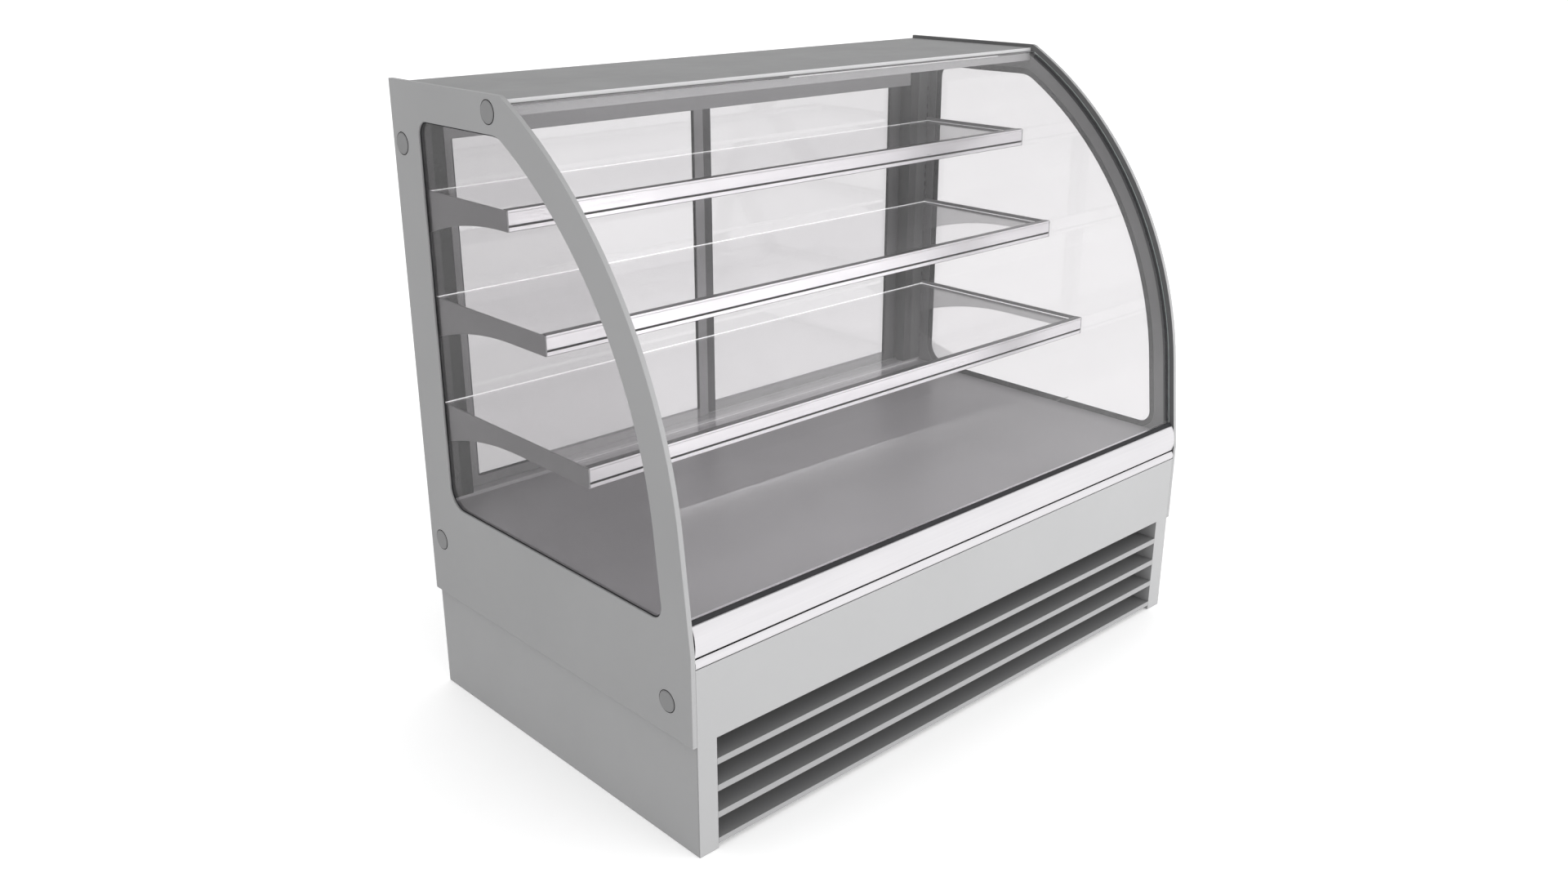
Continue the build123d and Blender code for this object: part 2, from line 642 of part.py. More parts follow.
def front_glass_gasket():
    """Rubber channel between the glass and the rail, with a wedge along the front."""
    section = glass_slot(1.95, 440.1, RAIL_TOP + 2.5)
    section += polygon([(-422.5, RAIL_TOP + 0.05), straight_point(GLASS_INSET + 1, RAIL_TOP + 0.05),
                        straight_point(GLASS_INSET + 1, 470), straight_point(GLASS_INSET - 1.5, 470)])
    section -= glass_slot(0.05, 442.2, 480)
    return along_x(section, (-FRONT_GLASS_SIDE, FRONT_GLASS_SIDE))


def right_pivot_pin():
    """Steel pin in the rail's end that turns in the end panel's bush."""
    pin = rod_x(PIVOT_RADIUS, (700, INNER + 6.5), PIVOT_Y, PIVOT_Z)
    return chamfer(pin.faces().sort_by(Axis.X)[-1].edges(), 0.8)


def right_pivot_bush():
    """Flanged nylon bush in the end panel's blind hole."""
    bush = rod_x(BUSH_RADIUS, (INNER, INNER + 7), PIVOT_Y, PIVOT_Z)
    bush += rod_x(BUSH_RADIUS + 2, (INNER - 0.8, INNER), PIVOT_Y, PIVOT_Z)
    return bush - rod_x(PIVOT_RADIUS + RUNNING, (INNER - 2, INNER + 8), PIVOT_Y, PIVOT_Z)


def right_edge_seal():
    """Rubber strip on the end panel: a thin web beside the glass and a lip behind it."""
    top_angle = curve_angle(GLASS_INSET, GLASS_TOP_Z) - 0.6
    web = curve_band(GLASS_INSET, SEAL_INSET, 474, top_angle)
    lip = curve_band(GLASS_INSET + FRONT_GLASS + 0.4, SEAL_INSET, 474, top_angle)
    return along_x(web, (INNER - 0.7, INNER)) + along_x(lip, (722, INNER - 0.7))


# ================================================================ machine compartment
CONDENSER_TUBE_Z = [40, 75, 110, 145, 180, 215]
PIPE_HOLES = [(560.0, -120.0), (610.0, -120.0)]
EVAPORATOR_Z = 432.5


def condenser_coil():
    """Finned coil behind the grille: end plates, fins and through tubes joined by return bends."""
    y_mid = (COIL_Y[0] + COIL_Y[1]) / 2
    coil = block((COIL_X[0], COIL_X[0] + 2), COIL_Y, COIL_Z)
    coil += block((COIL_X[1] - 2, COIL_X[1]), COIL_Y, COIL_Z)
    fins = 24
    pitch = (COIL_X[1] - COIL_X[0]) / (fins + 1)
    for index in range(fins):
        x = COIL_X[0] + pitch * (index + 1)
        coil += block((x - 0.6, x + 0.6), (COIL_Y[0] + 2, COIL_Y[1] - 2), (COIL_Z[0] + 3, COIL_Z[1] - 3))
    for z in CONDENSER_TUBE_Z:
        coil += rod_x(5, (COIL_X[0] - 8, COIL_X[1] + 8), y_mid, z)
    for index, z in enumerate(CONDENSER_TUBE_Z[:-1]):
        x = COIL_X[1] + 8 if index % 2 else COIL_X[0] - 8
        coil += rod_z(5, (z - 5, CONDENSER_TUBE_Z[index + 1] + 5), x, y_mid)
    return coil


def condenser_fan_shroud():
    """Plate behind the coil with a round collar around the fan and three motor arms."""
    shroud = block(COIL_X, (COIL_Y[1], COIL_Y[1] + SHEET), COIL_Z)
    collar = (COIL_Y[1], COIL_Y[1] + 40)
    shroud += rod_y(FAN_RADIUS + 6, collar, FAN_X, FAN_Z)
    shroud -= rod_y(FAN_RADIUS + 4, (COIL_Y[1] - 1, COIL_Y[1] + 41), FAN_X, FAN_Z)
    arm_y = (COIL_Y[1] + 40, COIL_Y[1] + 44)
    arms = rod_y(FAN_RADIUS + 6, arm_y, FAN_X, FAN_Z) - rod_y(FAN_RADIUS + 2, arm_y, FAN_X, FAN_Z)
    arms += rod_y(32, arm_y, FAN_X, FAN_Z)
    for turn in (90, 210, 330):
        arm = block((30, FAN_RADIUS + 4), arm_y, (-6, 6))
        arms += Pos(FAN_X, 0, FAN_Z) * Rot(0, turn, 0) * arm
    arms -= rod_y(18, (arm_y[0] - 1, arm_y[1] + 1), FAN_X, FAN_Z)
    return shroud + arms


def condenser_fan_motor():
    """Closed motor on the shroud's arms, with a blind bearing bore for the fan shaft."""
    start = COIL_Y[1] + 44
    motor = rod_y(34, (start, start + 56), FAN_X, FAN_Z)
    motor = fillet(motor.faces().sort_by(Axis.Y)[-1].edges(), 6)
    motor += rod_y(17.8, (start - 4, start), FAN_X, FAN_Z)
    return motor - rod_y(4 + RUNNING, (start - 5, start + 30), FAN_X, FAN_Z)


def condenser_fan():
    """Five-blade fan with its shaft."""
    hub_y = (COIL_Y[1] + 8, COIL_Y[1] + 34)
    fan = rod_y(26, hub_y, FAN_X, FAN_Z)
    blade = block((20, FAN_RADIUS), (-1, 1), (-26, 26))
    hub_middle = (hub_y[0] + hub_y[1]) / 2
    for index in range(5):
        pitched = Pos(FAN_X, hub_middle, FAN_Z) * Rot(0, 72 * index, 0) * Rot(24, 0, 0) * blade
        fan += pitched
    fan &= rod_y(FAN_RADIUS, (COIL_Y[1] + 4, COIL_Y[1] + 38), FAN_X, FAN_Z)
    return fan + rod_y(4, (hub_y[1] - 5, COIL_Y[1] + 68), FAN_X, FAN_Z)


def compressor():
    """Sealed compressor shell on its foot plate."""
    x, y = COMPRESSOR
    shell = rod_z(COMPRESSOR_RADIUS, (34, 204), x, y)
    shell = fillet(shell.faces().sort_by(Axis.Z)[-1].edges(), 42)
    shell += rod_z(COMPRESSOR_RADIUS + 4, (112, 120), x, y)
    foot = block((x - 110, x + 110), (y - 62, y + 62), (30, 34))
    for dx in (-92, 92):
        for dy in (-46, 46):
            foot -= rod_z(4.5, (29, 35), x + dx, y + dy)
    return shell + foot


def compressor_mounts():
    """Rubber mounts under the compressor's foot plate, each with a collar through it."""
    x, y = COMPRESSOR
    mounts = []
    for dx in (-92, 92):
        for dy in (-46, 46):
            mount = rod_z(13, (PAN_Z + SHEET, 30), x + dx, y + dy)
            mount += rod_z(4.2, (30, 38), x + dx, y + dy)
            mount += rod_z(9, (34, 40), x + dx, y + dy)
            mounts.append(mount)
    return group(mounts)


def compressor_terminal_cover():
    """Plastic cover over the compressor's terminals."""
    x, y = COMPRESSOR
    cover = block((x - 30, x + 30), (y + 60, y + COMPRESSOR_RADIUS + 32), (52, 106))
    cover = fillet(cover.edges().filter_by(Axis.Z), 6)
    return cover - rod_z(COMPRESSOR_RADIUS + 0.2, (40, 120), x, y)


def evaporator_coil():
    """Serpentine tube just under the deck, both ends turned down through the well's floor."""
    left = -600.0
    right = 610.0
    points = [(PIPE_HOLES[0][0], PIPE_HOLES[0][1], 330)]
    points.append((PIPE_HOLES[0][0], PIPE_HOLES[0][1], EVAPORATOR_Z))
    points.append((left, PIPE_HOLES[0][1], EVAPORATOR_Z))
    rows = [-40, 40, 120, 200, 280]
    x = left
    for y in rows:
        points.append((x, y, EVAPORATOR_Z))
        x = right if x == left else left
        points.append((x, y, EVAPORATOR_Z))
    last = (PIPE_HOLES[1][0], PIPE_HOLES[1][1])
    points.append((last[0], last[1], EVAPORATOR_Z))
    points.append((last[0], last[1], 330))
    return tube(points, 24, 5)


def refrigerant_pipes():
    """Discharge, liquid and suction pipes between compressor, condenser and evaporator."""
    x, y = COMPRESSOR
    coil_y = (COIL_Y[0] + COIL_Y[1]) / 2
    coil_right = COIL_X[1] + 8
    low, high = CONDENSER_TUBE_Z[0], CONDENSER_TUBE_Z[-1]
    suction = [(PIPE_HOLES[1][0], PIPE_HOLES[1][1], 330), (PIPE_HOLES[1][0], PIPE_HOLES[1][1], 90),
               (x, PIPE_HOLES[1][1], 90), (x, y - COMPRESSOR_RADIUS, 90)]
    liquid = [(PIPE_HOLES[0][0], PIPE_HOLES[0][1], 330), (PIPE_HOLES[0][0], PIPE_HOLES[0][1], 250),
              (PIPE_HOLES[0][0], coil_y, 250), (PIPE_HOLES[0][0], coil_y, low), (coil_right, coil_y, low)]
    discharge = [(x, y, 204), (x, y, 250), (x, coil_y, 250), (x, coil_y, high), (coil_right, coil_y, high)]
    return group([tube(suction, 14, 5), tube(liquid, 14, 4), tube(discharge, 14, 4)])


def condensate_tray():
    """Open tray that catches defrost water."""
    tray = block((-640, -420), (20, 220), (PAN_Z + SHEET, 60))
    tray = fillet(tray.edges().filter_by(Axis.Z), 12)
    hollow = block((-638, -422), (22, 218), (PAN_Z + 2 * SHEET, 61))
    hollow = fillet(hollow.edges().filter_by(Axis.Z), 10)
    return tray - hollow


# ================================================================ controls
def control_panel():
    """Face plate and housing with two switch wells and a shaft hole for the thermostat knob."""
    face = block(CONTROL_X, (SERVICE_Y, CONTROL_FACE), CONTROL_Z)
    face = fillet(face.edges().filter_by(Axis.Y), 5)
    housing = block((CONTROL_X[0] + 10.3, CONTROL_X[1] - 10.3), (380, SERVICE_Y),
                    (CONTROL_Z[0] + 7.3, CONTROL_Z[1] - 7.3))
    panel = face + housing
    for x in SWITCH_X.values():
        panel -= block((x - 10.4, x + 10.4), (395, CONTROL_FACE + 1), (KNOB_Z - 15.2, KNOB_Z + 15.2))
        panel -= rod_x(1.5 + RUNNING, (x - 12.5, x + 12.5), SWITCH_Y, KNOB_Z)
    return panel - rod_y(3 + RUNNING, (396, CONTROL_FACE + 1), KNOB_X, KNOB_Z)


def rocker(x):
    """Rocker switch leaning to its off side, on a cross pin."""
    section = polygon([(4, 0), (6.2, 13.5), (0, 13.8), (-7, 10), (-7, -10), (0, -13.8), (6.2, -13.5)])
    body = extrude(Plane.YZ * section, 10, both=True)
    body += Rot(0, 90, 0) * Cylinder(1.5, 23)
    return Pos(x, SWITCH_Y, KNOB_Z) * Rot(-ROCK, 0, 0) * body


def thermostat_knob():
    """Fluted knob with a skirt, a pointer groove and its shaft."""
    knob = rod_y(20, (CONTROL_FACE + 0.6, CONTROL_FACE + 4), KNOB_X, KNOB_Z)
    knob += rod_y(16, (CONTROL_FACE + 4, CONTROL_FACE + 16), KNOB_X, KNOB_Z)
    for index in range(12):
        turn = math.radians(30 * index + 15)
        x = KNOB_X + 17 * math.cos(turn)
        z = KNOB_Z + 17 * math.sin(turn)
        knob -= rod_y(2.2, (CONTROL_FACE + 5, CONTROL_FACE + 17), x, z)
    knob -= block((KNOB_X - 0.8, KNOB_X + 0.8), (CONTROL_FACE + 15, CONTROL_FACE + 17), (KNOB_Z + 3, KNOB_Z + 15))
    return knob + rod_y(3, (398, CONTROL_FACE + 4), KNOB_X, KNOB_Z)


def cord_gland():
    """Blanked cable gland in the rear service panel."""
    x, z = -600, 60
    gland = rod_y(10, (SERVICE_Y - 10, SERVICE_Y), x, z)
    gland += Pos(x, SERVICE_Y + 5, z) * extrude(Plane.XZ * RegularPolygon(14, 6), 5)
    gland += rod_y(11, (SERVICE_Y + 5, SERVICE_Y + 15), x, z)
    gland = fillet(gland.faces().sort_by(Axis.Y)[-1].edges(), 4)
    return gland + Pos(x, SERVICE_Y - 2, z) * extrude(Plane.XZ * RegularPolygon(14, 6), 4)


# ================================================================ the whole case
def build():
    """Every node of the case, by name."""
    end_panel = right_end_panel()
    side_glass = right_side_glass()
    window_gasket = right_window_gasket()
    base_side = right_base_side()
    upright = right_rear_upright()
    nodes = {
        "left_end_panel": flip(end_panel), "right_end_panel": end_panel,
        "left_side_glass": flip(side_glass), "right_side_glass": side_glass,
        "side_glass_gaskets": group([window_gasket, flip(window_gasket)]),
        "end_panel_caps": group(right_caps() + [flip(cap) for cap in right_caps()]),
        "end_panel_bolts": group(right_bolts() + [flip(bolt) for bolt in right_bolts()]),
        "left_base_side": flip(base_side), "right_base_side": base_side,
        "base_pan": base_pan(), "front_fascia": front_fascia(), "grille_slats": grille_slats(),
        "rear_service_panel": rear_service_panel(), "front_sill": front_sill(),
        "deck_plate": deck_plate(), "insulated_well": insulated_well(),
        "top_panel": top_panel(), "top_valance": top_valance(), "top_glass_seal": top_glass_seal(),
        "lamp_housing": lamp_housing(), "lamp_diffuser": lamp_diffuser(),
        "left_rear_upright": flip(upright), "right_rear_upright": upright,
        "rear_header": rear_header(), "rear_sill": rear_sill(),
    }
    arms = []
    for name, (front, top) in SHELVES.items():
        nodes[name + "_shelf_glass"] = shelf_glass(front, top)
        nodes[name + "_shelf_rail"] = shelf_rail(front, top)
        arms.append(right_shelf_arm(front, top))
    nodes["left_shelf_brackets"] = group([flip(arm) for arm in arms])
    nodes["right_shelf_brackets"] = group(arms)

    seal = right_edge_seal()
    bush = right_pivot_bush()
    pin = right_pivot_pin()
    nodes["glass_edge_seals"] = group([seal, flip(seal)])
    nodes["front_glass_bushes"] = group([bush, flip(bush)])
    nodes["front_glass_pins"] = group([pin, flip(pin)])
    nodes["front_glass"] = front_glass()
    nodes["front_glass_rail"] = front_glass_rail()
    nodes["front_glass_gasket"] = front_glass_gasket()

    left = ((-DOOR_OUTER, 0.0), TRACKS[0], (STILE, 28.0))
    right = ((-6.0, DOOR_OUTER), TRACKS[1], (STILE, STILE))
    nodes["left_door_frame"] = door_frame(*left, rib_x=-654, rib_depth=2.5)
    nodes["left_door_glass"] = door_glass(*left)
    nodes["left_door_glides"] = door_glides(left[0], left[1])
    nodes["right_door_frame"] = door_frame(*right, rib_x=654, rib_depth=5)
    nodes["right_door_glass"] = door_glass(*right)
    nodes["right_door_glides"] = door_glides(right[0], right[1])

    nodes["condenser_coil"] = condenser_coil()
    nodes["condenser_fan_shroud"] = condenser_fan_shroud()
    nodes["condenser_fan_motor"] = condenser_fan_motor()
    nodes["condenser_fan"] = condenser_fan()
    nodes["compressor"] = compressor()
    nodes["compressor_mounts"] = compressor_mounts()
    nodes["compressor_terminal_cover"] = compressor_terminal_cover()
    nodes["evaporator_coil"] = evaporator_coil()
    nodes["refrigerant_pipes"] = refrigerant_pipes()
    nodes["condensate_tray"] = condensate_tray()
    nodes["control_panel"] = control_panel()
    for name, x in SWITCH_X.items():
        nodes[name] = rocker(x)
    nodes["thermostat_knob"] = thermostat_knob()
    nodes["cord_gland"] = cord_gland()
    return nodes


os.makedirs("parts", exist_ok=True)
for node_name, shape in build().items():
    export_step(shape, f"parts/{node_name}.step")
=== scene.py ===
"""Looks of the curved-glass bakery display case: materials, small fittings, studio and camera."""

import json
import math

import bmesh
import bpy
from mathutils import Matrix, Vector


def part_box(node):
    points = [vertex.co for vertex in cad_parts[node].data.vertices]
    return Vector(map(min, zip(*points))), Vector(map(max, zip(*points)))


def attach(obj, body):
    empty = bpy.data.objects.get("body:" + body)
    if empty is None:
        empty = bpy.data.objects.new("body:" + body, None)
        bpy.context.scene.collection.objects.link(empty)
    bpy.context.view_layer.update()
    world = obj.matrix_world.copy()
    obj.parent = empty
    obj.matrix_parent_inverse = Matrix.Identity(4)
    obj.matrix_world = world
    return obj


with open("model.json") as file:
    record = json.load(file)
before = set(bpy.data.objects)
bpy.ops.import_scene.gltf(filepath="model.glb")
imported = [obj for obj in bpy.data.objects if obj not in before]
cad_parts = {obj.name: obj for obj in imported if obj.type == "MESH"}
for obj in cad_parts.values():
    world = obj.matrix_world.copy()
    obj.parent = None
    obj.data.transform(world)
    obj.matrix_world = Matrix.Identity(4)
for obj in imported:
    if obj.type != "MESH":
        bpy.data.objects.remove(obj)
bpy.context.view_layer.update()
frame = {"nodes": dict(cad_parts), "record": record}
nodes = frame["nodes"]

UPRIGHT_FOLD_X = 0.692          # the fold in each rear upright, from the middle of the case
EDGE_SHARE = 0.7                # how much of a pane's polished edge shows its edge colour
RAIL_GAP_SHADE = (0.4012, 0.4051)     # the band of painted shadow over the gap between the front rail and the bead under it
LINE = 0.001                    # how far the painted shadow line at a shelf rail's edge reaches
RAIL_GROOVE = (0.0322, 0.0278)  # where painted shade darkens the groove in a shelf rail's face, below its top
SHEET_FACE_Y = 0.411            # the service panel's outer face
UPRIGHT_FACE_Y = 0.431          # the uprights' outer face
ROCKER_PIVOT = (0.409, 0.350)   # Y and Z of the axis of both rockers
ROCKER_LEAN = -9.0              # degrees that a rocker leans at rest
MARK_STEPS = 28                 # sides of the ring on a rocker
MARK_PARTS = 6                  # sides of that ring's section
BEAD_CORNER = 0.004             # corner radius of a door bead


# ---------------------------------------------------------------- material kit
class Kit:
    """A material's node tree, with short calls for the nodes used here."""

    def __init__(self, name):
        self.material = bpy.data.materials.new(name)
        self.material.use_nodes = True
        self.tree = self.material.node_tree
        self.tree.nodes.clear()
        self.output = self.tree.nodes.new("ShaderNodeOutputMaterial")

    def node(self, kind, **inputs):
        made = self.tree.nodes.new(kind)
        for name, value in inputs.items():
            self.put(made.inputs[name.replace("_", " ")], value)
        return made

    def put(self, socket, value):
        if isinstance(value, bpy.types.NodeSocket):
            self.tree.links.new(value, socket)
        else:
            socket.default_value = value

    def coords(self):
        return self.node("ShaderNodeTexCoord").outputs["Object"]

    def noise(self, scale, detail=3.0, stretch=None, rough=0.5):
        where = self.coords()
        if stretch:
            mapping = self.node("ShaderNodeMapping", Vector=where, Scale=stretch)
            where = mapping.outputs["Vector"]
        made = self.node("ShaderNodeTexNoise", Vector=where, Scale=scale, Detail=detail, Roughness=rough)
        return made.outputs["Fac"]

    def ramp(self, fac, stops):
        made = self.node("ShaderNodeValToRGB", Fac=fac)
        while len(made.color_ramp.elements) < len(stops):
            made.color_ramp.elements.new(0.5)
        for element, (place, colour) in zip(made.color_ramp.elements, stops):
            element.position = place
            element.color = (*colour, 1.0)
        return made.outputs["Color"]

    def spread(self, fac, low, high):
        made = self.node("ShaderNodeMapRange", Value=fac, To_Min=low, To_Max=high)
        made.inputs["From Min"].default_value = 0.3
        made.inputs["From Max"].default_value = 0.7
        return made.outputs["Result"]

    def bump(self, height, distance, strength=1.0, normal=None):
        made = self.node("ShaderNodeBump", Height=height, Distance=distance, Strength=strength)
        if normal is not None:
            self.put(made.inputs["Normal"], normal)
        return made.outputs["Normal"]

    def math(self, operation, first, second=0.0):
        made = self.tree.nodes.new("ShaderNodeMath")
        made.operation = operation
        made.use_clamp = True
        self.put(made.inputs[0], first)
        self.put(made.inputs[1], second)
        return made.outputs[0]

    def mix(self, fac, first, second):
        made = self.tree.nodes.new("ShaderNodeMix")
        made.data_type = "RGBA"
        self.put(made.inputs["Factor"], fac)
        self.put(made.inputs["A"], first if isinstance(first, bpy.types.NodeSocket) else (*first, 1.0))
        self.put(made.inputs["B"], second if isinstance(second, bpy.types.NodeSocket) else (*second, 1.0))
        return made.outputs["Result"]

    def edges(self, radius):
        """1 along sharp edges, 0 on open faces, with the rounded normal."""
        bevel = self.node("ShaderNodeBevel", Radius=radius)
        bevel.samples = 4
        geometry = self.node("ShaderNodeNewGeometry")
        dot = self.tree.nodes.new("ShaderNodeVectorMath")
        dot.operation = "DOT_PRODUCT"
        self.put(dot.inputs[0], bevel.outputs["Normal"])
        self.put(dot.inputs[1], geometry.outputs["Normal"])
        away = self.math("SUBTRACT", 1.0, dot.outputs["Value"])
        return self.math("MULTIPLY", away, 5.0), bevel.outputs["Normal"]

    def towards_customer(self):
        """1 on faces whose normal points along -Y, 0 elsewhere."""
        normal = self.node("ShaderNodeTexCoord").outputs["Normal"]
        split = self.node("ShaderNodeSeparateXYZ", Vector=normal)
        return self.math("LESS_THAN", split.outputs["Y"], -0.7)

    def towards_middle(self):
        """1 on faces that look across the case from one of its ends, 0 elsewhere."""
        coords = self.node("ShaderNodeTexCoord")
        normal = self.node("ShaderNodeSeparateXYZ", Vector=coords.outputs["Normal"])
        place = self.node("ShaderNodeSeparateXYZ", Vector=coords.outputs["Object"])
        product = self.tree.nodes.new("ShaderNodeMath")
        product.operation = "MULTIPLY"
        self.put(product.inputs[0], normal.outputs["X"])
        self.put(product.inputs[1], place.outputs["X"])
        return self.math("LESS_THAN", product.outputs[0], -0.4)

    def size_of(self, vector, axis):
        """How large one component of a vector is, whatever its sign."""
        split = self.node("ShaderNodeSeparateXYZ", Vector=vector)
        return self.math("ABSOLUTE", split.outputs[axis])

    def beyond(self, distance):
        """1 further from the middle of the case than a distance along X, 0 elsewhere."""
        return self.math("GREATER_THAN", self.size_of(self.coords(), "X"), distance)

    def facing(self, axis):
        """1 on faces square to an axis, on either side, 0 on the faces that lie along it."""
        normal = self.node("ShaderNodeTexCoord").outputs["Normal"]
        return self.math("GREATER_THAN", self.size_of(normal, axis), 0.6)

    def between(self, axis, low, high):
        """1 between two places along an axis, 0 elsewhere."""
        split = self.node("ShaderNodeSeparateXYZ", Vector=self.coords())
        above = self.math("GREATER_THAN", split.outputs[axis], low)
        below = self.math("LESS_THAN", split.outputs[axis], high)
        return self.math("MULTIPLY", above, below)

    def finish(self, shader):
        self.tree.links.new(shader, self.output.inputs["Surface"])
        return self.material


def shade(colour, factor):
    return tuple(min(1.0, channel * factor) for channel in colour)


def painted(name, colour, roughness=0.42, edge=1.25, coat=0.0, front=None, inside=None, outer_strip=None,
            ends=None):
    """Powder coat: faint cloudiness, fine orange peel, brighter edges that are partly wear and partly a
    painted highlight, and a few smudges.

    front is the colour of the faces towards the customer, inside that of the faces towards the middle
    of the case, ends that of the faces along X, and outer_strip that of whatever lies further out than
    the fold in each upright. All four are painted light and shade: lit and shaded copies of the one coat.
    """
    kit = Kit(name)
    base_tone = kit.ramp(kit.noise(3.0, 4.0), [(0.35, shade(colour, 0.975)), (0.65, shade(colour, 1.02))])
    # Painted light and shade: faces towards the customer, the strip beyond each upright's fold, faces along
    # X and faces towards the middle of the case take lit and shaded copies of the coat.
    if front:
        lit_front_or_clear_pane = kit.ramp(kit.noise(3.0, 4.0), [(0.35, shade(front, 0.985)), (0.65, shade(front, 1.01))])
        base_tone = kit.mix(kit.towards_customer(), base_tone, lit_front_or_clear_pane)
    if outer_strip:
        base_tone = kit.mix(kit.beyond(UPRIGHT_FOLD_X), base_tone, outer_strip)
    if ends:
        base_tone = kit.mix(kit.facing("X"), base_tone, ends)
    if inside:
        base_tone = kit.mix(kit.towards_middle(), base_tone, inside)
    speck = kit.noise(1400.0, 2.0)
    colour_now = kit.mix(kit.spread(speck, 0.0, 0.08), base_tone, shade(colour, 0.8))
    # Painted highlight, partly wear: sharp edges are lightened in patches, and the bevel rounds their
    # normal.
    edge_mask, rounded = kit.edges(0.0012)
    patchy_edge_wear_and_highlight = kit.math("MULTIPLY", edge_mask, kit.spread(kit.noise(38.0, 3.0), 0.2, 0.9))
    colour_now = kit.mix(patchy_edge_wear_and_highlight, colour_now, shade(colour, edge))
    smudge = kit.noise(9.0, 5.0, rough=0.6)
    rough_now = kit.spread(smudge, roughness - 0.05, roughness + 0.07)
    peel = kit.bump(kit.noise(620.0, 2.0), 0.00006, 0.35, rounded)
    surface = kit.node("ShaderNodeBsdfPrincipled", Base_Color=colour_now, Roughness=rough_now, Normal=peel)
    surface.inputs["Specular IOR Level"].default_value = 0.28
    surface.inputs["Coat Weight"].default_value = coat
    surface.inputs["Coat Roughness"].default_value = 0.25
    return kit.finish(surface.outputs["BSDF"])


def metal(name, colour, roughness=0.28, grain=(1.0, 1.0, 1.0), grain_scale=500.0, depth=0.00002, edge=1.1,
          shade_bands=()):
    """Bare metal with drawn grain, cloudy haze, cleaner edges and dark lines of painted shadow, partly dirt,
    where parts meet and in grooves.

    Each shade band gives the lowest and highest Z of one painted shadow line.
    """
    kit = Kit(name)
    line = kit.noise(grain_scale, 4.0, grain)
    haze = kit.noise(6.0, 4.0)
    colour_now = kit.mix(kit.spread(line, 0.0, 0.35), colour, shade(colour, 0.9))
    colour_now = kit.mix(kit.spread(haze, 0.0, 0.12), colour_now, shade(colour, 0.85))
    edge_mask, rounded = kit.edges(0.0008)
    colour_now = kit.mix(kit.math("MULTIPLY", edge_mask, 0.5), colour_now, shade(colour, edge))
    # Painted shadow, partly dirt: each band of Z is darkened almost to black.
    for low, high in shade_bands:
        colour_now = kit.mix(kit.between("Z", low, high), colour_now, shade(colour, 0.12))
    rough_now = kit.math("ADD", kit.spread(line, roughness - 0.05, roughness + 0.05),
                         kit.spread(haze, 0.0, 0.05))
    normal = kit.bump(line, depth, 0.5, rounded)
    surface = kit.node("ShaderNodeBsdfPrincipled", Base_Color=colour_now, Roughness=rough_now, Normal=normal)
    surface.inputs["Metallic"].default_value = 1.0
    return kit.finish(surface.outputs["BSDF"])


def galvanised(name, colour):
    """Zinc-coated sheet: crystal spangle and a dull film."""
    kit = Kit(name)
    cells = kit.node("ShaderNodeTexVoronoi", Vector=kit.coords(), Scale=130.0)
    spangle = kit.node("ShaderNodeSeparateColor", Color=cells.outputs["Color"]).outputs["Red"]
    film = kit.noise(7.0, 5.0)
    colour_now = kit.mix(kit.math("MULTIPLY", spangle, 0.35), colour, shade(colour, 0.72))
    colour_now = kit.mix(kit.spread(film, 0.0, 0.3), colour_now, shade(colour, 1.12))
    rough_now = kit.math("ADD", kit.math("MULTIPLY", spangle, 0.16), 0.36)
    normal = kit.bump(spangle, 0.00003, 0.3)
    surface = kit.node("ShaderNodeBsdfPrincipled", Base_Color=colour_now, Roughness=rough_now, Normal=normal)
    surface.inputs["Metallic"].default_value = 0.85
    return kit.finish(surface.outputs["BSDF"])


def plastic(name, colour, roughness=0.45, texture=900.0, depth=0.00005, coat=0.0):
    """Moulded plastic: fine spark texture, light scuffs and paler edges."""
    kit = Kit(name)
    grain = kit.noise(texture, 2.0)
    scuff = kit.noise(24.0, 5.0, rough=0.65)
    colour_now = kit.mix(kit.spread(scuff, 0.0, 0.22), colour, shade(colour, 1.35))
    edge_mask, rounded = kit.edges(0.0008)
    colour_now = kit.mix(kit.math("MULTIPLY", edge_mask, 0.45), colour_now, shade(colour, 1.8))
    rough_now = kit.spread(scuff, roughness - 0.06, roughness + 0.08)
    normal = kit.bump(grain, depth, 0.5, rounded)
    surface = kit.node("ShaderNodeBsdfPrincipled", Base_Color=colour_now, Roughness=rough_now, Normal=normal)
    surface.inputs["Coat Weight"].default_value = coat
    surface.inputs["Coat Roughness"].default_value = 0.15
    return kit.finish(surface.outputs["BSDF"])


def rubber(name, colour):
    """Extruded rubber: fine grain, grey bloom and a dull skin."""
    kit = Kit(name)
    bloom = kit.noise(30.0, 5.0, rough=0.65)
    colour_now = kit.mix(kit.spread(bloom, 0.0, 0.35), colour, shade(colour, 2.2))
    grain = kit.noise(700.0, 3.0)
    rough_now = kit.spread(bloom, 0.55, 0.8)
    surface = kit.node("ShaderNodeBsdfPrincipled", Base_Color=colour_now, Roughness=rough_now,
                       Normal=kit.bump(grain, 0.00008, 0.5))
    surface.inputs["Specular IOR Level"].default_value = 0.35
    return kit.finish(surface.outputs["BSDF"])


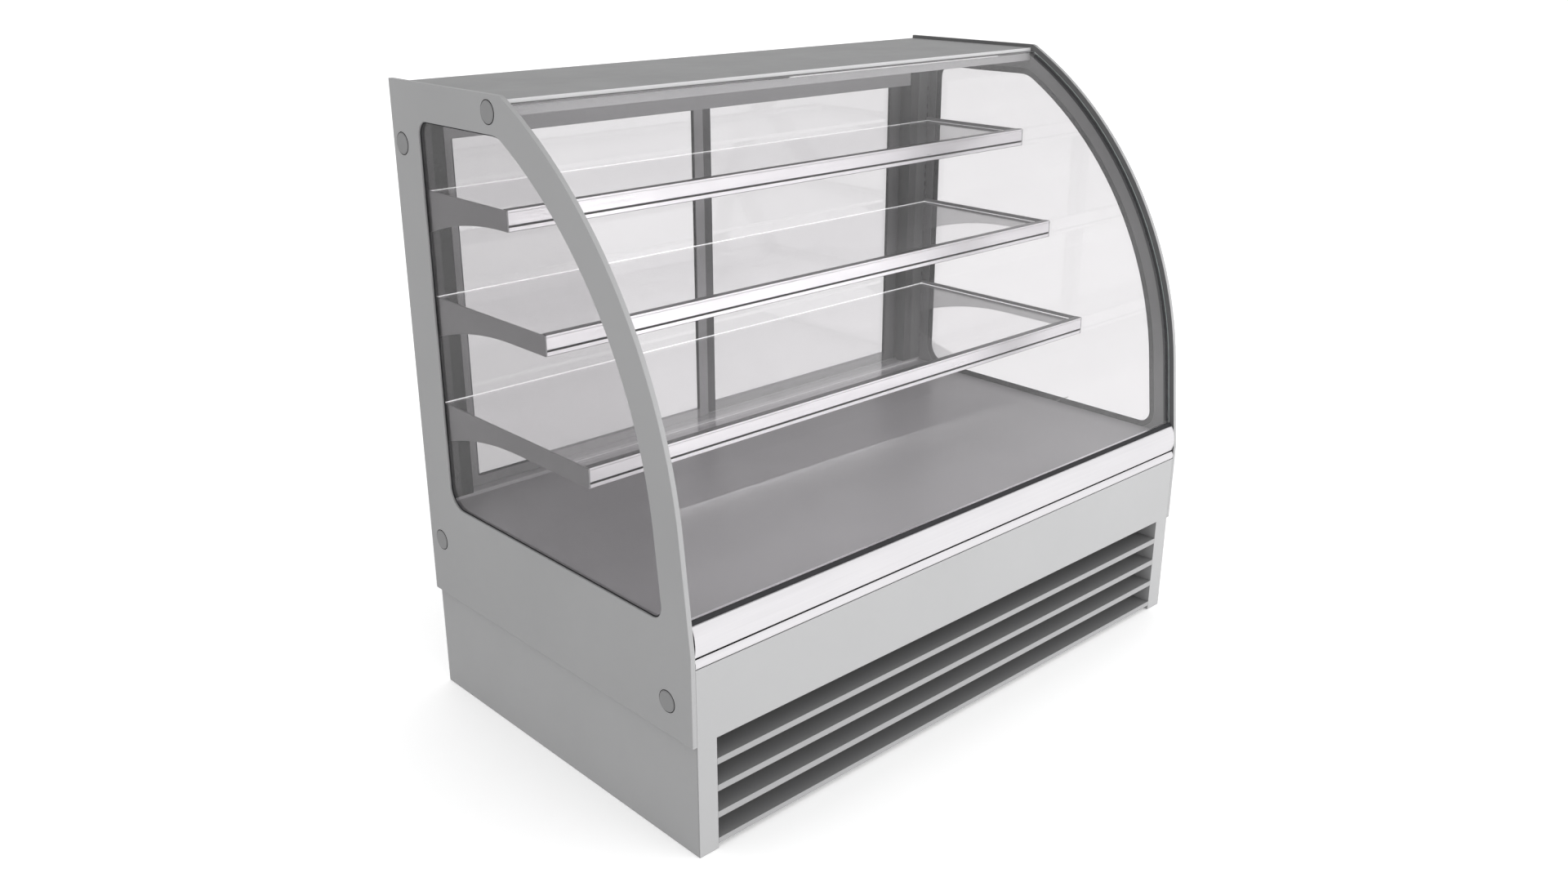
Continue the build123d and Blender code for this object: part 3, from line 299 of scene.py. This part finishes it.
def glass(name, tint, film_share=0.0, edge_axes=(), edge_colour=(0.95, 0.96, 0.96), glow=0.0):
    """Float glass: grey tint, slight waviness and a trace of wiped haze, open to light and shadow rays.

    film_share is how much of it a white film hides, partly dust and partly a painted sheen. edge_axes are
    the axes that its polished edges face, in edge_colour, and glow is painted light: the edges give it off
    as emission, standing in for the light that the pane pipes to them.
    """
    kit = Kit(name)
    film = kit.noise(5.0, 5.0, rough=0.6)
    rough_now = kit.spread(film, 0.0, 0.012)
    wave = kit.bump(kit.noise(4.0, 1.0), 0.0004, 0.12)
    lit_front_or_clear_pane = kit.node("ShaderNodeBsdfPrincipled", Roughness=rough_now, Normal=wave)
    colour_now = kit.mix(kit.spread(film, 0.0, 1.0), tint, shade(tint, 0.985))
    kit.put(lit_front_or_clear_pane.inputs["Base Color"], colour_now)
    lit_front_or_clear_pane.inputs["Transmission Weight"].default_value = 1.0
    lit_front_or_clear_pane.inputs["IOR"].default_value = 1.5
    open_way = kit.node("ShaderNodeBsdfTransparent")
    open_way.inputs["Color"].default_value = (*shade(tint, 0.93), 1.0)
    path = kit.node("ShaderNodeLightPath")
    through = kit.math("MAXIMUM", path.outputs["Is Shadow Ray"], path.outputs["Is Diffuse Ray"])
    mixed = kit.tree.nodes.new("ShaderNodeMixShader")
    kit.put(mixed.inputs[0], through)
    kit.put(mixed.inputs[1], lit_front_or_clear_pane.outputs["BSDF"])
    # Painted sheen, partly dust: a white diffuse film mixed over the pane in patches, standing in for a
    # blurred reflection.
    if film_share:
        dust_and_sheen = kit.node("ShaderNodeBsdfPrincipled", Roughness=kit.spread(film, 0.35, 0.5),
                        Base_Color=kit.ramp(film, [(0.3, (0.93, 0.92, 0.93)), (0.7, (0.98, 0.97, 0.98))]))
        film_mix = kit.tree.nodes.new("ShaderNodeMixShader")
        kit.put(film_mix.inputs[0], kit.spread(kit.noise(2.5, 3.0), 0.7 * film_share, 1.2 * film_share))
        kit.put(film_mix.inputs[1], lit_front_or_clear_pane.outputs["BSDF"])
        kit.put(film_mix.inputs[2], dust_and_sheen.outputs["BSDF"])
        kit.put(mixed.inputs[1], film_mix.outputs["Shader"])
    kit.put(mixed.inputs[2], open_way.outputs["BSDF"])
    if not edge_axes:
        return kit.finish(mixed.outputs["Shader"])
    ground_rough = kit.spread(kit.noise(60.0, 3.0), 0.2, 0.35)
    ground_colour = kit.ramp(kit.noise(20.0, 3.0), [(0.3, shade(edge_colour, 0.97)), (0.7, edge_colour)])
    edge_finish_and_glow = kit.node("ShaderNodeBsdfPrincipled", Roughness=ground_rough, Base_Color=ground_colour)
    # Painted glow: the polished edges emit light, though the pane is no lamp.
    edge_finish_and_glow.inputs["Emission Color"].default_value = (1.0, 1.0, 1.0, 1.0)
    edge_finish_and_glow.inputs["Emission Strength"].default_value = glow
    mask = kit.facing(edge_axes[0])
    for axis in edge_axes[1:]:
        mask = kit.math("MAXIMUM", mask, kit.facing(axis))
    edged = kit.tree.nodes.new("ShaderNodeMixShader")
    kit.put(edged.inputs[0], kit.math("MULTIPLY", mask, EDGE_SHARE))
    kit.put(edged.inputs[1], mixed.outputs["Shader"])
    kit.put(edged.inputs[2], edge_finish_and_glow.outputs["BSDF"])
    return kit.finish(edged.outputs["Shader"])


def milky(name, colour):
    """Milky diffuser: soft, slightly see-through, with fine lengthwise ribs."""
    kit = Kit(name)
    ribs = kit.node("ShaderNodeTexWave", Vector=kit.coords(), Scale=160.0)
    ribs.bands_direction = "Y"
    base_tone = kit.ramp(kit.noise(12.0, 3.0), [(0.35, shade(colour, 0.96)), (0.65, colour)])
    surface = kit.node("ShaderNodeBsdfPrincipled", Base_Color=base_tone,
                       Roughness=kit.spread(kit.noise(40.0, 3.0), 0.32, 0.42),
                       Normal=kit.bump(ribs.outputs["Fac"], 0.0002, 0.4))
    surface.inputs["Subsurface Weight"].default_value = 0.4
    surface.inputs["Subsurface Radius"].default_value = (0.01, 0.01, 0.01)
    return kit.finish(surface.outputs["BSDF"])


def tone(value):
    return (value, value, value * 1.01)


def shelf_rail_lines():
    """Where painted shadow, partly dirt, outlines each shelf rail: its top and bottom edges and the groove
    in its face.
    """
    lines = []
    for level in ("upper", "middle", "lower"):
        low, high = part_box(level + "_shelf_rail")
        lines.append((high[2] - 0.0009, high[2] + LINE))
        lines.append((high[2] - RAIL_GROOVE[0], high[2] - RAIL_GROOVE[1]))
        lines.append((low[2] - LINE, low[2] + LINE))
    return lines


MATERIALS = {
    "painted_side_metal": painted("side_powder_coat", tone(0.33)),
    # Painted shade: the rear header takes a darker copy of the side coat.
    "header_metal": painted("header_powder_coat", tone(0.265)),
    # Painted reflection: the rear sill takes a lighter copy of the side coat, standing in for light
    # reflected in the lower shelf glass.
    "sill_metal": painted("sill_powder_coat", tone(0.5)),
    # Painted shade: the end panels' faces towards the middle of the case are painted dark.
    "end_panel_metal": painted("end_panel_powder_coat", tone(0.318), inside=tone(0.13)),
    # Painted shade: the shelf brackets' faces towards the middle of the case are painted darker.
    "bracket_metal": painted("bracket_powder_coat", tone(0.32), inside=tone(0.205)),
    # Painted light: the strip of each upright beyond its fold is painted lighter than the rest of the
    # upright.
    "upright_metal": painted("upright_powder_coat", tone(0.03), roughness=0.4, inside=tone(0.03),
                             outer_strip=tone(0.075)),
    # Painted light and shade: the faces towards the customer are painted lit on the left door frame and deep
    # shade on the right one.
    "left_door_metal": painted("left_door_powder_coat", tone(0.17), roughness=0.34, front=tone(0.26)),
    "right_door_metal": painted("right_door_powder_coat", tone(0.17), roughness=0.45, front=tone(0.085)),
    # Painted light and shade: the fascia's front is painted lit, the end walls of the air slots lighter, and
    # the rest of the recess dark as shade.
    "recess_metal": painted("recess_powder_coat", tone(0.19), roughness=0.5, front=tone(0.345),
                            ends=tone(0.34)),
    # Painted light and shade: the slats' faces towards the customer are lit grey, and their tops and
    # undersides painted dark as shade in the slots.
    "slat_metal": painted("slat_powder_coat", tone(0.22), roughness=0.5, front=tone(0.29)),
    # Painted light and shade: the top panel's front lip is painted bright, and its top darker than the side
    # coat to offset the light it catches.
    "top_metal": painted("top_powder_coat", tone(0.275), roughness=0.55, front=tone(0.5)),
    "valance_metal": painted("valance_powder_coat", tone(0.33)),
    # Painted shadow: each cap's disc face is mid grey and its rim near-black, a shadow gap painted around
    # it.
    "cap_metal": painted("cap_powder_coat", tone(0.02), roughness=0.35, edge=1.0, ends=tone(0.24)),
    "galvanised_sheet": galvanised("galvanised_sheet", (0.55, 0.56, 0.57)),
    "tub_plastic": plastic("tub_plastic", (0.6, 0.61, 0.62)),
    "seal_metal": painted("grey_seal", tone(0.2), roughness=0.5),
    "deck_steel": painted("deck_coat", (0.368, 0.36, 0.373), roughness=0.34, edge=1.15),
    "bright_aluminium": metal("bright_aluminium", (0.9, 0.9, 0.905), 0.3, (0.02, 1.0, 1.0)),
    # Painted shadow, partly dirt: dark lines along each shelf rail's edges and groove.
    "shelf_aluminium": metal("shelf_aluminium", (0.87, 0.855, 0.875), 0.3, (0.02, 1.0, 1.0),
                             grain_scale=220.0, shade_bands=shelf_rail_lines()),
    # Painted shadow: a dark band across the gap between the front rail and the bead under it.
    "rail_aluminium": metal("rail_aluminium", (0.97, 0.952, 0.976), 0.32, (0.02, 1.0, 1.0),
                            grain_scale=220.0, shade_bands=[RAIL_GAP_SHADE]),
    "side_glass": glass("side_float_glass", (0.76, 0.751, 0.758)),
    "door_pane": glass("door_float_glass", (0.69, 0.682, 0.69)),
    # Shelf panes: a thin painted sheen, partly dust, and a painted glow on their polished edges.
    "shelf_pane": glass("shelf_float_glass", (1.0, 0.993, 1.0), 0.04, edge_axes=("X", "Y"), glow=1.3),
    "curved_pane": glass("curved_float_glass", (0.98, 0.973, 0.98), edge_axes=("X",),
                         edge_colour=(0.48, 0.54, 0.52)),
    "black_rubber": rubber("black_rubber", (0.022, 0.022, 0.024)),
    "milky_plastic": milky("milky_plastic", (0.88, 0.88, 0.86)),
    "black_plastic": plastic("black_plastic", (0.03, 0.03, 0.032)),
    "switch_plastic": plastic("switch_plastic", (0.022, 0.022, 0.024), 0.28, coat=0.4),
    "plated_steel": metal("plated_steel", (0.62, 0.62, 0.63), 0.25),
    "copper_tube": metal("copper_tube", (0.78, 0.42, 0.27), 0.26, grain_scale=300.0),
    "coil_aluminium": metal("coil_aluminium", (0.72, 0.73, 0.74), 0.38, (1.0, 1.0, 0.05)),
    "black_enamel": painted("black_enamel", (0.02, 0.02, 0.021), roughness=0.25, edge=2.5, coat=0.5),
}

slots = {part["node"]: part["material_slot"] for part in frame["record"]["subparts"]}
slots["front_fascia"] = "recess_metal"
slots["end_panel_caps"] = "cap_metal"
slots["top_panel"] = "top_metal"
slots["top_valance"] = "valance_metal"
slots["rear_sill"] = "sill_metal"
slots["rear_header"] = "header_metal"
slots["front_glass_rail"] = "rail_aluminium"
slots["front_sill"] = "rail_aluminium"
slots["top_glass_seal"] = "seal_metal"
for side in ("left", "right"):
    slots[side + "_side_glass"] = "side_glass"
    slots[side + "_door_glass"] = "door_pane"
    slots[side + "_door_frame"] = side + "_door_metal"
    slots[side + "_rear_upright"] = "upright_metal"
    slots[side + "_end_panel"] = "end_panel_metal"
    slots[side + "_shelf_brackets"] = "bracket_metal"
for level in ("upper", "middle", "lower"):
    slots[level + "_shelf_glass"] = "shelf_pane"
    slots[level + "_shelf_rail"] = "shelf_aluminium"
slots["front_glass"] = "curved_pane"
for node_name, item in nodes.items():
    item.data.materials.clear()
    item.data.materials.append(MATERIALS[slots[node_name]])


# ---------------------------------------------------------------- small fittings
def turned(bm, place, axis, profile, sides=24, socket=None):
    """Adds a lathed fitting to bm: profile is (radius, height) from its seat to its middle.

    socket is the index of the first ring that is six-sided, as in a hex socket.
    """
    turn = Vector((0, 0, 1)).rotation_difference(Vector(axis)).to_matrix()
    rings = []
    for index, (radius, height) in enumerate(profile):
        ring = []
        for step in range(sides):
            angle = 2 * math.pi * step / sides
            reach = radius
            if socket is not None and index >= socket:
                reach = radius / math.cos((angle % (math.pi / 3)) - math.pi / 6)
            local = Vector((reach * math.cos(angle), reach * math.sin(angle), height))
            ring.append(bm.verts.new(Vector(place) + turn @ local))
        rings.append(ring)
    for low, high in zip(rings, rings[1:]):
        for step in range(sides):
            after = (step + 1) % sides
            bm.faces.new((low[step], low[after], high[after], high[step]))
    bm.faces.new(list(reversed(rings[0])))
    bm.faces.new(rings[-1])


def piece(name, bm, material, body):
    """Turns bm into an object that rides on a body."""
    bmesh.ops.recalc_face_normals(bm, faces=bm.faces)
    mesh = bpy.data.meshes.new(name)
    bm.to_mesh(mesh)
    bm.free()
    made = bpy.data.objects.new(name, mesh)
    bpy.context.scene.collection.objects.link(made)
    mesh.materials.append(MATERIALS[material])
    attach(made, body)
    return made


SCREW = [(0.0046, 0.0), (0.0046, 0.0004), (0.0043, 0.0009), (0.0036, 0.0014), (0.0026, 0.0017),
         (0.0021, 0.00172), (0.0019, 0.0006), (0.0004, 0.0004)]


def screws(name, places, axis):
    """Button-head screws with hex sockets."""
    bm = bmesh.new()
    for place in places:
        turned(bm, place, axis, SCREW, socket=5)
    return piece(name, bm, "plated_steel", "cabinet")


def rear_screws():
    """Fixings of the service panel, the control panel and the uprights."""
    panel_low, panel_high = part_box("rear_service_panel")
    control_low, control_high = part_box("control_panel")
    places = []
    for x in (-0.7, -0.35, 0.0, 0.35, 0.7):
        for z in (panel_low[2] + 0.025, panel_high[2] - 0.02):
            places.append((x, SHEET_FACE_Y, z))
    for x in (-0.7, 0.7):
        places.append((x, SHEET_FACE_Y, (panel_low[2] + panel_high[2]) / 2))
    screws("service_panel_screws", places, (0, 1, 0))
    places = [(x, control_high_face(), z)
              for x in (control_low[0] + 0.008, control_high[0] - 0.008)
              for z in (control_low[2] + 0.008, control_high[2] - 0.008)]
    screws("control_panel_screws", places, (0, 1, 0))
    places = []
    for x in (-0.702, 0.702):
        for z in (0.5, 0.86, 1.2):
            places.append((x, UPRIGHT_FACE_Y, z))
    screws("upright_screws", places, (0, 1, 0))


def control_high_face():
    """The control panel's outer face."""
    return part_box("control_panel")[1][1]


def dial_marks():
    """Raised marks around the thermostat knob, longer towards cold."""
    low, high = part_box("thermostat_knob")
    centre = Vector(((low[0] + high[0]) / 2, control_high_face(), (low[2] + high[2]) / 2))
    bm = bmesh.new()
    for index in range(10):
        angle = math.radians(225 - 30 * index)
        out = Vector((-math.cos(angle), 0, math.sin(angle)))
        size = 0.0012 + 0.0003 * index
        bar = bmesh.ops.create_cube(bm, size=1.0)["verts"]
        shape = Matrix.LocRotScale(centre + out * 0.0245, out.to_track_quat("Z", "Y"),
                                   (0.0011, 0.0006, size * 2))
        bmesh.ops.transform(bm, matrix=shape, verts=bar)
    bmesh.ops.bevel(bm, geom=list(bm.edges), offset=0.0002, segments=2, affect="EDGES")
    piece("dial_marks", bm, "milky_plastic", "cabinet")


def rocker_marks(node, body):
    """A bar and a ring on the two halves of a rocker."""
    low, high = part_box(node)
    pivot = Vector(((low[0] + high[0]) / 2, *ROCKER_PIVOT))
    lean = Matrix.Rotation(math.radians(ROCKER_LEAN), 3, "X")
    bm = bmesh.new()
    tilt = math.atan2(2.2, 13.5)
    bar = bmesh.ops.create_cube(bm, size=1.0)["verts"]
    shape = Matrix.LocRotScale(Vector((0, 0.0052, 0.0068)), Matrix.Rotation(-tilt, 3, "X").to_quaternion(),
                               (0.0009, 0.0005, 0.0052))
    bmesh.ops.transform(bm, matrix=shape, verts=bar)
    bmesh.ops.bevel(bm, geom=list(bm.edges), offset=0.00018, segments=2, affect="EDGES")
    rings = []
    for step in range(MARK_STEPS):
        angle = 2 * math.pi * step / MARK_STEPS
        section = []
        for part in range(MARK_PARTS):
            turn = 2 * math.pi * part / MARK_PARTS
            reach = 0.0024 + 0.00035 * math.cos(turn)
            local = Vector((reach * math.cos(angle), 0.00035 * math.sin(turn), reach * math.sin(angle)))
            local = Matrix.Rotation(tilt, 3, "X") @ local
            section.append(bm.verts.new(local + Vector((0, 0.0052, -0.0068))))
        rings.append(section)
    for step in range(MARK_STEPS):
        here, there = rings[step], rings[(step + 1) % MARK_STEPS]
        for part in range(MARK_PARTS):
            after = (part + 1) % MARK_PARTS
            bm.faces.new((here[part], here[after], there[after], there[part]))
    for vertex in bm.verts:
        vertex.co = pivot + lean @ vertex.co
    piece(node + "_marks", bm, "milky_plastic", body)


def glazing_bead(name, node, y, body):
    """Rounded rubber bead around a door pane, on one face of its frame."""
    low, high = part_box(node)
    inset = 0.0038
    curve = bpy.data.curves.new(name, "CURVE")
    curve.dimensions = "3D"
    curve.bevel_depth = 0.0016
    curve.bevel_resolution = 3
    path = curve.splines.new("POLY")
    corners = [(low[0] + inset, low[2] + inset), (high[0] - inset, low[2] + inset),
               (high[0] - inset, high[2] - inset), (low[0] + inset, high[2] - inset)]
    points = []
    for index, (x, z) in enumerate(corners):
        centre_x = x + (BEAD_CORNER if index in (0, 3) else -BEAD_CORNER)
        centre_z = z + (BEAD_CORNER if index in (0, 1) else -BEAD_CORNER)
        for step in range(5):
            angle = math.radians(180 + 90 * index + 22.5 * step)
            points.append((centre_x + BEAD_CORNER * math.cos(angle), y,
                           centre_z + BEAD_CORNER * math.sin(angle), 1.0))
    path.points.add(len(points) - 1)
    for point, place in zip(path.points, points):
        point.co = place
    path.use_cyclic_u = True
    made = bpy.data.objects.new(name, curve)
    bpy.context.scene.collection.objects.link(made)
    curve.materials.append(MATERIALS["black_rubber"])
    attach(made, body)


def door_beads():
    """Beads on both faces of both door panes."""
    for side in ("left", "right"):
        low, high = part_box(side + "_door_glass")
        for face, y in (("front", low[1] - 0.0012), ("rear", high[1] + 0.0012)):
            glazing_bead(f"{side}_door_{face}_bead", side + "_door_glass", y, side + "_rear_door")


rear_screws()
dial_marks()
rocker_marks("power_switch", "power_rocker")
rocker_marks("light_switch", "light_rocker")
door_beads()


# ---------------------------------------------------------------- studio
def dark_flags(tree, background):
    """Dark flags at the case's left and overhead, seen only as reflections."""
    path = tree.nodes.new("ShaderNodeLightPath")
    way = tree.nodes.new("ShaderNodeSeparateXYZ")
    tree.links.new(tree.nodes.new("ShaderNodeTexCoord").outputs["Generated"], way.inputs[0])
    shares = []
    for axis, start, end, low, high in (("X", -0.55, 0.1, 1.0, 0.15), ("Z", 0.2, 0.7, 0.15, 0.8)):
        flag = tree.nodes.new("ShaderNodeMapRange")
        flag.interpolation_type = "SMOOTHSTEP"
        tree.links.new(way.outputs[axis], flag.inputs["Value"])
        for name, value in (("From Min", start), ("From Max", end), ("To Min", low), ("To Max", high)):
            flag.inputs[name].default_value = value
        shares.append(flag.outputs["Result"])
    darker = join(tree, "MAXIMUM", *shares)
    reflected = join(tree, "SUBTRACT", path.outputs["Is Glossy Ray"], path.outputs["Is Transmission Ray"])
    colour = tree.nodes.new("ShaderNodeMix")
    colour.data_type = "RGBA"
    tree.links.new(join(tree, "MULTIPLY", darker, reflected), colour.inputs["Factor"])
    colour.inputs["A"].default_value = (1.0, 1.0, 1.0, 1.0)
    colour.inputs["B"].default_value = (0.12, 0.12, 0.12, 1.0)
    tree.links.new(colour.outputs["Result"], background.inputs["Color"])


def join(tree, operation, first, second):
    """One Math node of the world, between two outputs."""
    made = tree.nodes.new("ShaderNodeMath")
    made.operation = operation
    made.use_clamp = True
    tree.links.new(first, made.inputs[0])
    tree.links.new(second, made.inputs[1])
    return made.outputs[0]


def studio():
    """Pale floor, white surround and one broad soft light from the customer's side."""
    mesh = bpy.data.meshes.new("studio_floor")
    half = 40.0
    level = -0.0005
    corners = [(-half, -half, level), (half, -half, level), (half, half, level), (-half, half, level)]
    mesh.from_pydata(corners, [], [(0, 1, 2, 3)])
    floor = bpy.data.objects.new("studio_floor", mesh)
    bpy.context.scene.collection.objects.link(floor)
    kit = Kit("studio_floor")
    pale = kit.ramp(kit.noise(0.6, 3.0), [(0.3, (0.93, 0.93, 0.93)), (0.7, (0.95, 0.95, 0.95))])
    surface = kit.node("ShaderNodeBsdfPrincipled", Base_Color=pale, Roughness=0.9)
    surface.inputs["Specular IOR Level"].default_value = 0.1
    surface.inputs["Emission Color"].default_value = (1.0, 1.0, 1.0, 1.0)
    surface.inputs["Emission Strength"].default_value = 0.2
    floor.data.materials.append(kit.finish(surface.outputs["BSDF"]))
    floor.visible_glossy = False    # the front glass would mirror the strip of floor that the softbox lights

    world = bpy.data.worlds.new("studio")
    world.use_nodes = True
    background = world.node_tree.nodes["Background"]
    background.inputs["Color"].default_value = (1.0, 1.0, 1.0, 1.0)
    background.inputs["Strength"].default_value = 1.06
    dark_flags(world.node_tree, background)
    bpy.context.scene.world = world

    light = bpy.data.lights.new("front_softbox", "AREA")
    light.shape = "RECTANGLE"
    light.size = 4.0
    light.size_y = 1.1
    light.energy = 138.0
    lamp = bpy.data.objects.new("front_softbox", light)
    lamp.location = (1.3, -4.5, 0.6)
    aim = Vector((0.0, 0.0, 0.6)) - lamp.location
    lamp.visible_glossy = False
    lamp.visible_transmission = False
    lamp.rotation_euler = aim.to_track_quat("-Z", "Y").to_euler()
    bpy.context.scene.collection.objects.link(lamp)


def camera():
    """The camera stands at the left of the customer's side and looks a little down."""
    data = bpy.data.cameras.new("main_camera")
    data.lens = 32.31
    data.sensor_width = 36.0
    made = bpy.data.objects.new("main_camera", data)
    made.location = (-2.058, -2.076, 1.591)
    forward = Vector((0.6386, 0.6848, -0.3510))
    made.rotation_euler = forward.to_track_quat("-Z", "Y").to_euler()
    bpy.context.scene.collection.objects.link(made)
    bpy.context.scene.camera = made


studio()
camera()
bpy.context.scene.view_settings.view_transform = "Standard"
